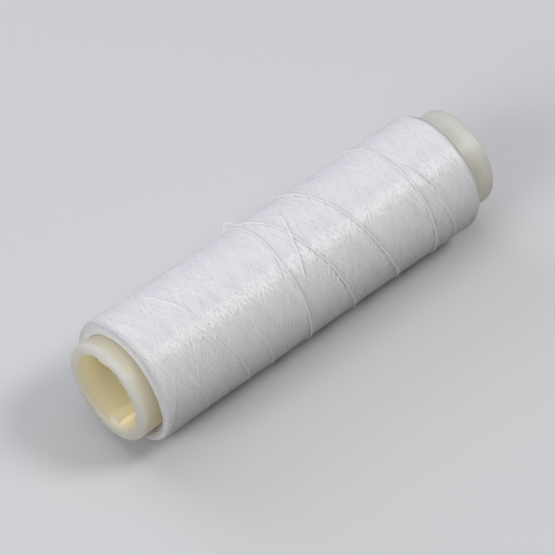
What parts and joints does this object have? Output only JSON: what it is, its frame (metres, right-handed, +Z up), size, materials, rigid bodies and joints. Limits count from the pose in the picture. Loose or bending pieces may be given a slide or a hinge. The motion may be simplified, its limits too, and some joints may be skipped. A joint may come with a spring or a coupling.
{
  "type": "string reel",
  "caption": "Small reel of fine white string: a moulded cream plastic tube with an open keyed bore and bare collars, cross-wound from end to end, lying on its side.",
  "frame": {"origin": "under the middle of the reel, on the surface that it lies on", "axes": "+X along the tube from the keyed end to the plain end, +Z up, reel lying on its side"},
  "size_m": [0.075, 0.0216, 0.0216],
  "materials": {
    "tube_plastic": "satin",
    "string_inner": "satin",
    "string": "satin"
  },
  "bodies": {
    "root": {"spool_tube": "tube_plastic", "wound_body": "string_inner", "outer_turns": "string", "crossing_wraps": "string", "snag_loop": "string"}
  },
  "joints": []
}
